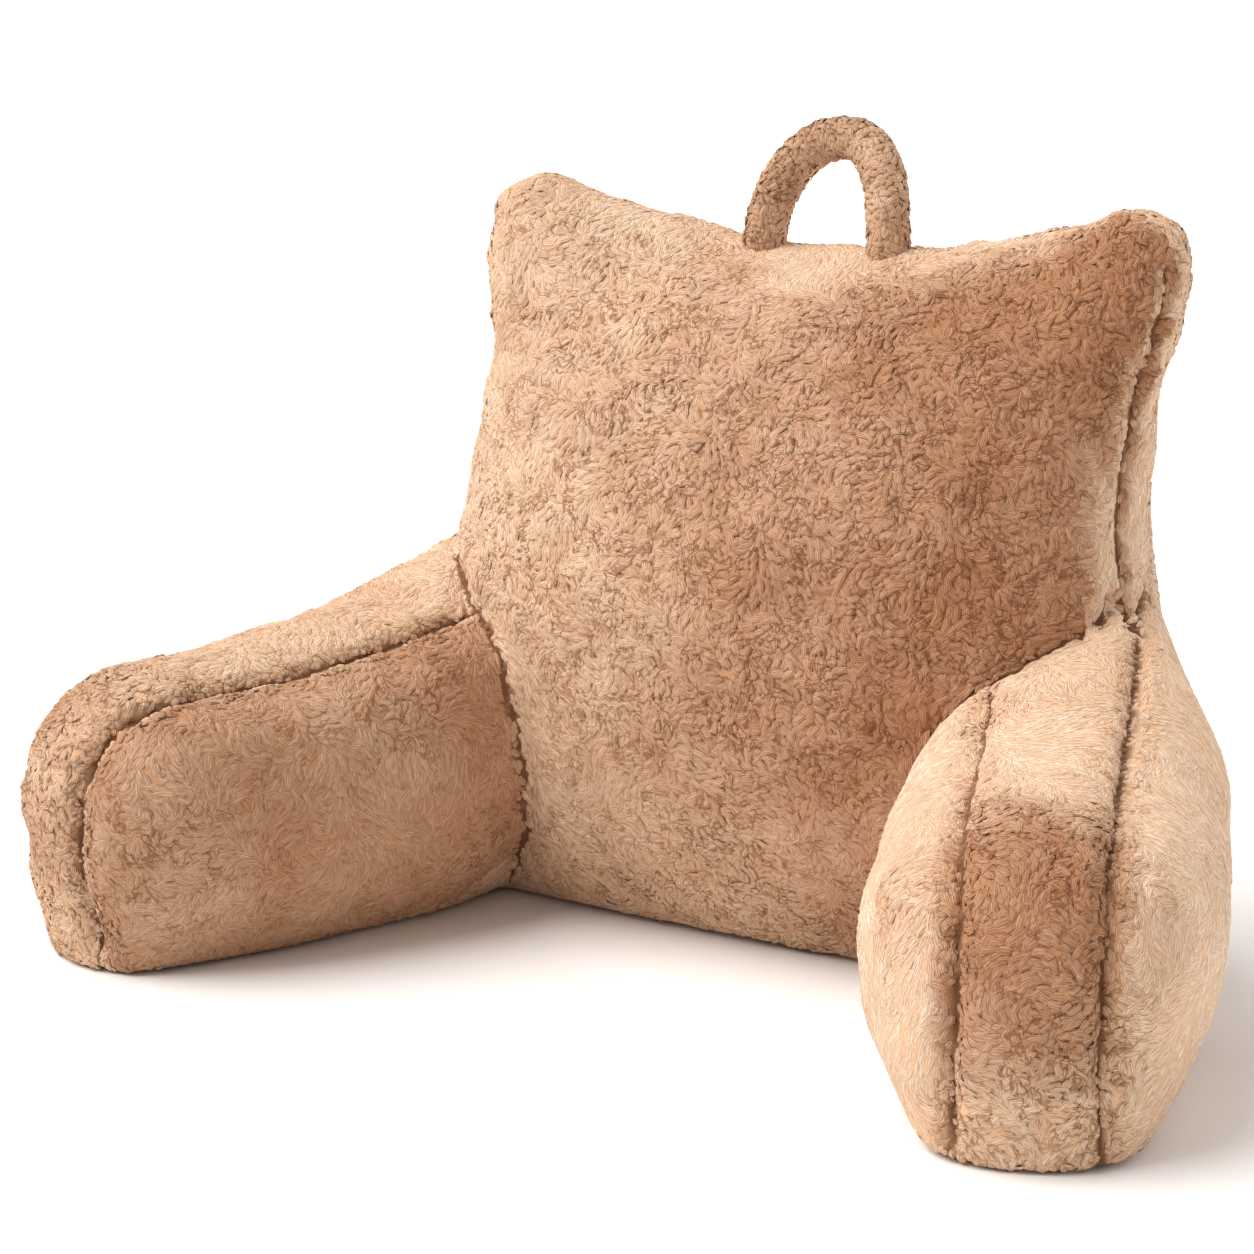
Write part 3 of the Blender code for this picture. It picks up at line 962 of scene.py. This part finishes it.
class Wire:
    # one socket of a material's nodes; + - * on it add Math nodes
    def __init__(self, tree, socket=None):
        self.tree = tree
        self.socket = socket

    def node(self, kind, settings=None, sockets=None, out=0):
        # any node: its settings first, then the values or links of its sockets
        made = self.tree.nodes.new(kind)
        for key, value in (settings or {}).items():
            setattr(made, key, value)
        for key, value in (sockets or {}).items():
            if isinstance(value, Wire):
                self.tree.links.new(value.socket, made.inputs[key])
            else:
                made.inputs[key].default_value = value
        return Wire(self.tree, made.outputs[out])

    def math(self, operation, a, b=0.0):
        return self.node("ShaderNodeMath", {"operation": operation}, {0: a, 1: b})

    def __add__(self, other):
        return self.math("ADD", self, other)

    def __sub__(self, other):
        return self.math("SUBTRACT", self, other)

    def __rsub__(self, other):
        return self.math("SUBTRACT", other, self)

    def __mul__(self, other):
        return self.math("MULTIPLY", self, other)

    __radd__ = __add__
    __rmul__ = __mul__

    def power(self, exponent):
        return self.math("POWER", self, exponent)

    def sine(self):
        return self.math("SINE", self)

    def absolute(self):
        return self.math("ABSOLUTE", self)

    def clamp(self):
        return self.node("ShaderNodeClamp", {}, {"Value": self})

    def mix(self, factor, a, b):
        # a colour between two others
        colours = {0: factor, 6: a, 7: b}
        return self.node("ShaderNodeMix", {"data_type": "RGBA"}, colours, 2)


tints = {
    # painted shade in crevices between locks and down in seams and creases
    "creviceShade": (0.17, 0.070, 0.030),
    # the pile runs root to middle to tip as it grows paler: dark roots are painted shade, pale tips
    # painted light through the fur
    "root":    (0.50, 0.235, 0.110),
    "middle":  (0.76, 0.465, 0.280),
    "tip":     (0.93, 0.735, 0.570),
    "ground":  (0.76, 0.490, 0.310),
    # painted shade tint, multiplied in where faces turn from the key light and in random tone spots
    "paintedShadeAndTone":    (0.60, 0.44, 0.34),
    "roughness": 0.75,
    "sheen": 0.12,
    "groundRoughness": 0.9,
    "groundSheen": 0.2,
}
grain = {
    # scales are in cells for each metre, depths in metres
    "creviceScale": 118.0,
    "creviceThin": 16.0,
    "patchScale": 62.0,
    "patchShare": 0.56,      # higher leaves fewer crevices
    "broadScale": 9.0,
    "strandDepth": 0.00065,
    "groundScale": 420.0,
    "groundDepth": 0.0012,
}


def newFinish(name, roughness, sheen):
    # a material with its shader's steady values set; returns it, its shader and a first wire
    material = bpy.data.materials.new(name)
    material.use_nodes = True
    tree = material.node_tree
    shader = tree.nodes["Principled BSDF"]
    shader.inputs["Roughness"].default_value = roughness
    shader.inputs["Specular IOR Level"].default_value = 0.25
    shader.inputs["Sheen Weight"].default_value = sheen
    shader.inputs["Sheen Roughness"].default_value = 0.45
    shader.inputs["Sheen Tint"].default_value = (1.0, 0.86, 0.70, 1)
    return material, shader, Wire(tree)


def feed(wire, shader, socket):
    wire.tree.links.new(wire.socket, shader.inputs[socket])


def opaque(colour):
    return (*colour, 1)


def stored(base, name):
    return base.node("ShaderNodeAttribute", {"attribute_name": name}, None, "Fac")


def objectPlace(base):
    return base.node("ShaderNodeTexCoord", {}, None, "Object")


def noise(base, place, scale, detail, distortion=0.0):
    sockets = {"Vector": place, "Scale": scale, "Detail": detail, "Distortion": distortion}
    return base.node("ShaderNodeTexNoise", {}, sockets, 0)


def relief(base, shader, depth, height):
    sockets = {"Strength": 1.0, "Distance": depth, "Height": height}
    feed(base.node("ShaderNodeBump", {}, sockets), shader, "Normal")


def creviceShadeLines(base, ruffle):
    # thin curved lines where one noise passes its middle value, only where a broader one is high:
    # the crevices between locks, painted shade in the pile's colour and sunk in its relief
    place = objectPlace(base)
    line = (noise(base, place, grain["creviceScale"], 1.0, 0.7) - 0.5).absolute()
    where = noise(base, place, grain["patchScale"], 1.0)
    thin = (1.0 - line * grain["creviceThin"]).clamp()
    patch = ((where - grain["patchShare"] + ruffle * 0.16) * 9.0).clamp()
    return thin * patch * (ruffle * 1.25).clamp()


def withPaintedShade(base, colour):
    # painted shade: the colour multiplied by the shade tint as far as the place's own share of shade
    # and tone says
    share = stored(base, "paintedShadeAndTone")
    stained = {"data_type": "RGBA", "blend_type": "MULTIPLY"}
    colours = {0: share, 6: colour, 7: opaque(tints["paintedShadeAndTone"])}
    return base.node("ShaderNodeMix", stained, colours, 2)


def pileFinish():
    # strands run along each lock; roots are darker with painted shade, tips paler with painted light
    # through the fur, and every lock has its own tone
    roughness, sheen = tints["roughness"], tints["sheen"]
    material, shader, base = newFinish("tan_plush_pile", roughness, sheen)
    uv = base.node("ShaderNodeUVMap", {"uv_map": "lock"})
    across = base.node("ShaderNodeSeparateXYZ", {}, {0: uv}, "X")
    along = base.node("ShaderNodeSeparateXYZ", {}, {0: uv}, "Y")
    tone = stored(base, "tone")
    ruffle = stored(base, "ruffle")
    spot = base.node("ShaderNodeCombineXYZ", {}, {0: across * 7.0, 1: along * 1.2, 2: tone * 60.0})
    streak = noise(base, spot, 1.0, 2.0)
    strand = (across * 11.0 + streak * 4.0 + tone * 40.0).sine().absolute()
    crest = 1.0 - (across * 2.0 - 1.0).absolute().power(2.0)
    creviceShade = creviceShadeLines(base, ruffle)
    broad = noise(base, objectPlace(base), grain["broadScale"], 2.0)
    # painted shade and light: paleness rises toward each lock's tip and on its ridge, so roots and
    # lock edges are shaded; tone, streaks, strands and broad patches add random variation
    pale = along * 0.20 + tone * 0.26 + streak * 0.70 + strand * 0.45 + crest * 0.20 + broad * 0.40
    # painted shade: ruffled nap is darker for its extra crevices, and darker still along the crevice
    # lines
    pale = (pale - ruffle * 0.22 - 0.52).clamp() * (1.0 - creviceShade * 0.7)
    lower = base.mix((pale * 2.0).clamp(), opaque(tints["root"]), opaque(tints["middle"]))
    colour = base.mix((pale * 2.0 - 1.0).clamp(), lower, opaque(tints["tip"]))
    # painted shade along the crevice lines
    colour = base.mix(creviceShade * 0.35, colour, opaque(tints["creviceShade"]))
    # painted shade where faces turn from the key light
    colour = withPaintedShade(base, colour)
    feed(colour, shader, "Base Color")
    height = strand * 0.7 + streak * 1.2 + crest * 0.3 - creviceShade * 1.1
    relief(base, shader, grain["strandDepth"], height)
    return material


def clothFinish():
    # the ground of the plush, seen between the locks: short fibres, with painted shade down in the
    # seams and creases
    roughness, sheen = tints["groundRoughness"], tints["groundSheen"]
    material, shader, base = newFinish("tan_plush_ground", roughness, sheen)
    fibre = noise(base, objectPlace(base), grain["groundScale"], 2.0)
    sunk = stored(base, "sunk")
    lower, upper = opaque(tints["middle"]), opaque(tints["ground"])
    # painted shade where faces turn from the key light, on the ground too
    ground = withPaintedShade(base, base.mix(((fibre - 0.35) * 2.5).clamp(), lower, upper))
    # painted shade where the ground sinks into seams and creases
    colour = base.mix((sunk * 2.0 - 0.8).clamp(), ground, opaque(tints["creviceShade"]))
    feed(colour, shader, "Base Color")
    relief(base, shader, grain["groundDepth"], fibre)
    return material


room = {
    "floorColour": (0.93, 0.925, 0.92),
    "floorHalf": 30.0,
    "worldColour": (1.0, 0.995, 0.99),
    "worldStrength": 0.48,
    # suns: across, above and before as the camera sees it, strength, spread in degrees, colour
    "suns": {
        "key": (-1.10, 1.45, 0.34, 3.5, 60, (1.0, 0.985, 0.96)),
        "side": (1.0, 0.35, -0.60, 1.5, 50, (1.0, 0.99, 0.98)),
    },
}


def paleFloor():
    material = bpy.data.materials.new("pale_floor")
    material.use_nodes = True
    shader = material.node_tree.nodes["Principled BSDF"]
    shader.inputs["Base Color"].default_value = opaque(room["floorColour"])
    shader.inputs["Roughness"].default_value = 0.9
    shader.inputs["Specular IOR Level"].default_value = 0.1
    half = room["floorHalf"]
    corners = np.array([(-1, -1, 0), (1, -1, 0), (1, 1, 0), (-1, 1, 0)]) * half
    floor = makeObject("floor", makeMesh("floor", corners, np.array([[0, 1, 2, 3]])))
    floor.data.materials.append(material)


view = {
    "azimuth": np.radians(34.28),
    "elevation": np.radians(12.07),
    "distance": 2.0,
    "target": (0.207, -0.504, 0.327),
    "lens": 107.68,
}


def lookAxes():
    # right, up and back of the camera
    a, e = view["azimuth"], view["elevation"]
    towards = Vector((np.sin(a) * np.cos(e), -np.cos(a) * np.cos(e), np.sin(e)))
    right = Vector((np.cos(a), np.sin(a), 0))
    return right, towards.cross(right), towards


def placeCamera():
    right, up, towards = lookAxes()
    camera = bpy.data.cameras.new("camera")
    camera.lens = view["lens"]
    camera.sensor_width = 36
    holder = bpy.data.objects.new("camera", camera)
    bpy.context.scene.collection.objects.link(holder)
    turn = Matrix((right, up, towards)).transposed().to_4x4()
    eye = Vector(view["target"]) + towards * view["distance"]
    holder.matrix_world = Matrix.Translation(eye) @ turn
    bpy.context.scene.camera = holder


def softSun(name, across, above, before, strength, spread, colour):
    # a wide soft sun, its direction given in the camera's own directions
    right, up, towards = lookAxes()
    lamp = bpy.data.lights.new(name, "SUN")
    lamp.energy = strength
    lamp.angle = np.radians(spread)
    lamp.color = colour
    holder = bpy.data.objects.new(name, lamp)
    bpy.context.scene.collection.objects.link(holder)
    aim = (right * across + up * above + towards * before).to_track_quat("Z", "Y")
    holder.matrix_world = aim.to_matrix().to_4x4()


def studio():
    paleFloor()
    placeCamera()
    for name, look in room["suns"].items():
        softSun(name, *look)
    world = bpy.data.worlds.new("studio")
    world.use_nodes = True
    background = world.node_tree.nodes["Background"]
    background.inputs["Color"].default_value = opaque(room["worldColour"])
    background.inputs["Strength"].default_value = room["worldStrength"]
    bpy.context.scene.world = world
    bpy.context.scene.view_settings.view_transform = "Standard"


seamLine, seamShare = seamLines()
crease = creaseLine()
print("crease points", len(crease))
body, (foldLine, sewnLine, sewnShare) = cushionBody()
outline = sewSeams(body)
print("cushion body", len(body.data.polygons), "faces")
core = handleCore()
plushPieces = plushOnCushion(body, outline)
loopPlush = plushOnHandle(core)
print("pile grown")

cloth = clothFinish()
plush = pileFinish()
for piece in (body, core):
    piece.data.materials.append(cloth)
for piece in (*plushPieces, loopPlush):
    piece.data.materials.append(plush)
studio()
print("materials, camera and lights placed")

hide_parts("back_cushion", "arm_left", "arm_right")
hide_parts("carry_handle")
for piece in (body, *plushPieces):
    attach(piece, "root")
for piece in (core, loopPlush):
    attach(piece, "root")
